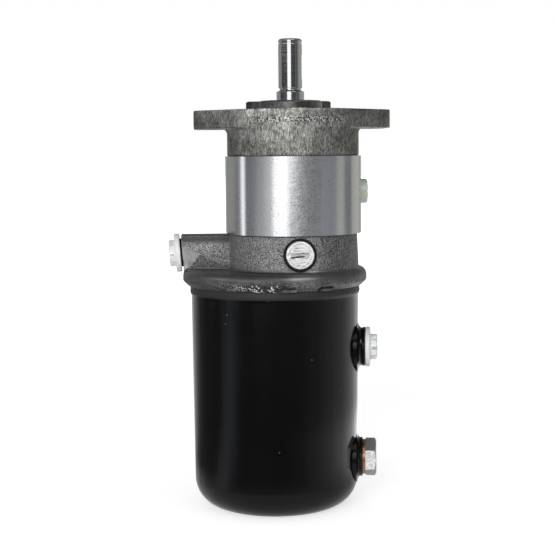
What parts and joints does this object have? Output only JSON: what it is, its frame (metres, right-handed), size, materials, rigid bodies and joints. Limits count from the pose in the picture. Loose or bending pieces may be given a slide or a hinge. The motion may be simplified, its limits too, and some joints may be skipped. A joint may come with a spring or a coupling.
{
  "type": "power steering pump",
  "caption": "Gear pump with an eared cast flange, a keyed drive shaft, an aluminium gear housing and a black oil reservoir can with capped ports, a drain plug and a relief valve.",
  "frame": {"origin": "on the shaft axis, in the plane of the mounting face that meets the engine or gearcase", "axes": "+Z runs out along the drive shaft, away from the reservoir; +X points to the side with the outlet, return and drain ports; -Y points to the relief plug"},
  "size_m": [0.1474, 0.122, 0.3106],
  "materials": {
    "flange_iron": "bare sand-cast iron with a machined face",
    "housing_aluminium": "drawn aluminium profile, fine vertical streaks",
    "cover_iron": "dark sand-cast iron, fine even grain",
    "black_paint": "gloss black paint on drawn steel",
    "shaft_steel": "ground and polished steel",
    "gear_steel": "ground steel",
    "block_aluminium": "turned aluminium",
    "bush_bronze": "plain bearing bronze",
    "seal_rubber": "black nitrile rubber",
    "spring_steel": "dark spring wire",
    "black_steel": "black-finished steel",
    "plug_steel": "bare turned steel",
    "white_plastic": "white moulded plastic",
    "milky_plastic": "milky moulded plastic",
    "zinc_steel": "zinc-plated steel",
    "copper": "annealed copper",
    "filter_paper": "resin-coated filter paper"
  },
  "bodies": {
    "root": {"mounting_flange": "flange_iron", "pump_body": "housing_aluminium", "rear_cover": "cover_iron", "reservoir_can": "black_paint", "return_port_collar": "black_paint", "drain_port_collar": "black_paint", "front_bearing_block": "block_aluminium", "rear_bearing_block": "block_aluminium", "drive_front_bush": "bush_bronze", "idler_front_bush": "bush_bronze", "drive_rear_bush": "bush_bronze", "idler_rear_bush": "bush_bronze", "front_body_seal": "seal_rubber", "rear_body_seal": "seal_rubber", "front_pressure_seal": "seal_rubber", "rear_pressure_seal": "seal_rubber", "shaft_seal": "seal_rubber", "seal_circlip": "spring_steel", "locating_dowels": "gear_steel", "body_bolts": "black_steel", "bolt_washers": "black_steel", "relief_plug": "plug_steel", "relief_plug_ring": "seal_rubber", "relief_seat": "gear_steel", "relief_spring": "spring_steel", "rim_seal": "seal_rubber", "inlet_cap": "white_plastic", "inlet_seal": "seal_rubber", "return_cap": "white_plastic", "outlet_cap": "milky_plastic", "drain_plug": "zinc_steel", "drain_washer": "copper", "filter_spring": "spring_steel", "can_bolt": "zinc_steel", "can_bolt_washer": "copper"},
    "drive": {"drive_shaft": "shaft_steel"},
    "idler": {"idler_gear": "gear_steel"},
    "relief_valve": {"relief_piston": "gear_steel"},
    "filter": {"filter_top_plate": "zinc_steel", "filter_element": "filter_paper", "filter_bottom_plate": "zinc_steel"}
  },
  "joints": [
    {"name": "shaft_spin", "type": "hinge", "parent": "root", "child": "drive", "pos_m": [0, 0, 0], "axis": [0, 0, 1], "continuous": true},
    {"name": "idler_spin", "type": "hinge", "parent": "root", "child": "idler", "pos_m": [0, -0.029, 0], "axis": [0, 0, 1], "continuous": true},
    {"name": "relief_lift", "type": "slide", "parent": "root", "child": "relief_valve", "axis": [0, -1, 0], "range_m": [0, 0.003], "stiffness_N_per_m": 8000, "springref_m": -0.003, "deforming": ["relief_spring"]},
    {"name": "filter_bypass", "type": "slide", "parent": "root", "child": "filter", "axis": [0, 0, -1], "range_m": [0, 0.004], "stiffness_N_per_m": 2500, "springref_m": -0.006, "deforming": ["filter_spring"]}
  ],
  "couplings": [
    {"joint": "idler_spin", "follows": "shaft_spin", "ratio": -1}
  ]
}
